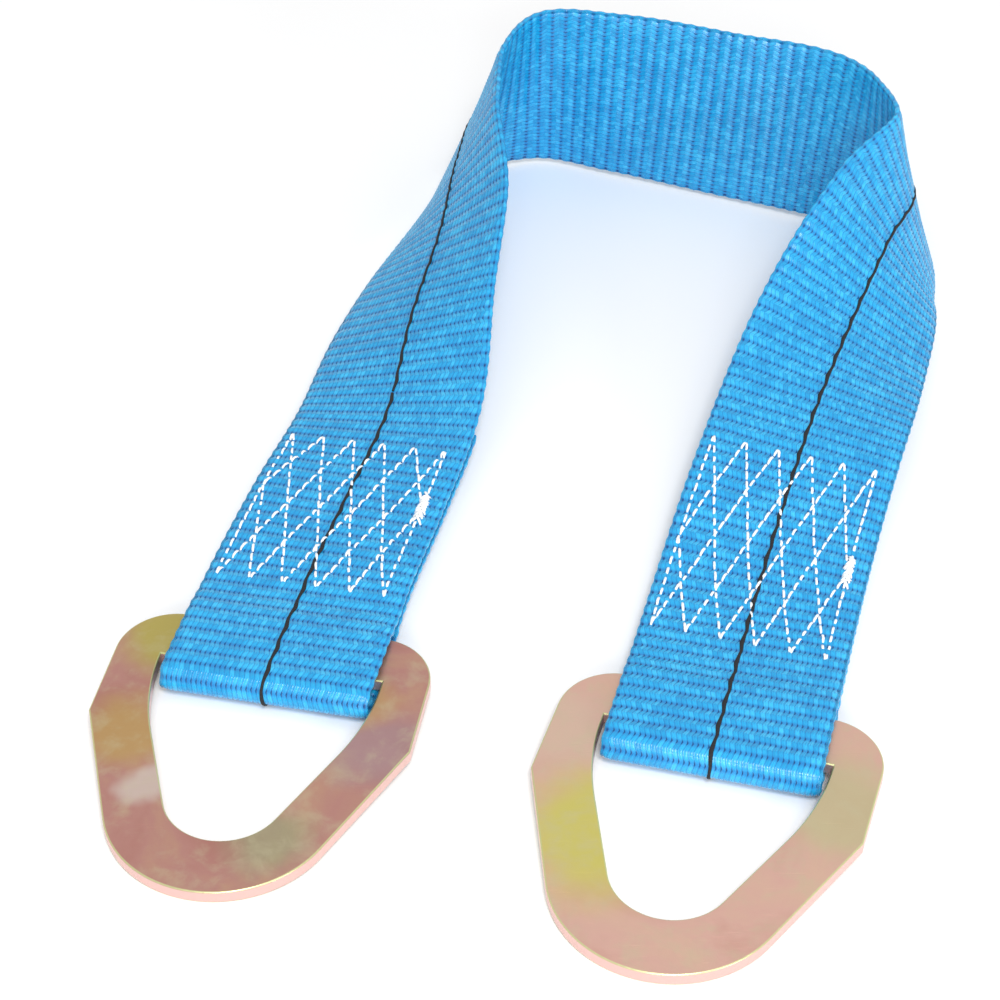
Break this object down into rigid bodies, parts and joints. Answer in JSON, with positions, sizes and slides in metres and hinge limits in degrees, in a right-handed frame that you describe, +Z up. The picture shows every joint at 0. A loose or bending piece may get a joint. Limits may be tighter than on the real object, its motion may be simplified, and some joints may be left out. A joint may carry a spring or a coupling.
{
  "type": "flat web sling",
  "caption": "Flat textile sling: a length of wide polyester webbing with a stamped steel delta ring sewn into a loop at each end, lying with its middle on edge.",
  "frame": {"origin": "on the ground under the middle of the sling's box", "axes": "+Z up, +Y from the rings towards the middle of the webbing, +X to the right seen from the rings"},
  "size_m": [0.2185, 0.3275, 0.0519],
  "materials": {
    "webbing": "woven, silky",
    "tracer_yarn": "matt",
    "sewing_thread": "satin",
    "zinc_plated_steel": "yellow zinc plated, iridescent"
  },
  "bodies": {
    "back": {"web_back_panel": "webbing", "tracer_back": "tracer_yarn"},
    "left_arm": {"web_left_arm": "webbing", "web_left_lap": "webbing", "tracer_left": "tracer_yarn", "needle_thread_left": "sewing_thread", "bobbin_thread_left": "sewing_thread", "back_tack_left": "sewing_thread"},
    "right_arm": {"web_right_arm": "webbing", "web_right_lap": "webbing", "tracer_right": "tracer_yarn", "needle_thread_right": "sewing_thread", "bobbin_thread_right": "sewing_thread", "back_tack_right": "sewing_thread"},
    "left_loop": {"web_left_loop": "webbing", "delta_ring_left": "zinc_plated_steel"},
    "right_loop": {"web_right_loop": "webbing", "delta_ring_right": "zinc_plated_steel"}
  },
  "joints": [
    {"name": "left_arm_swing", "type": "hinge", "parent": "back", "child": "left_arm", "pos_m": [-0.0032, 0.1606, 0.0269], "axis": [0, 0, -1], "range_deg": [-2, 60]},
    {"name": "right_arm_swing", "type": "hinge", "parent": "back", "child": "right_arm", "pos_m": [0.0911, 0.1226, 0.026], "axis": [0, 0, 1], "range_deg": [-2, 80]},
    {"name": "left_ring_flex", "type": "hinge", "parent": "left_arm", "child": "left_loop", "pos_m": [-0.0636, -0.0532, 0.00583], "axis": [-0.9778, 0.2096, 0], "range_deg": [0, 75]},
    {"name": "right_ring_flex", "type": "hinge", "parent": "right_arm", "child": "right_loop", "pos_m": [0.0387, -0.0771, 0.00562], "axis": [-0.9673, 0.2538, 0], "range_deg": [0, 75]}
  ]
}
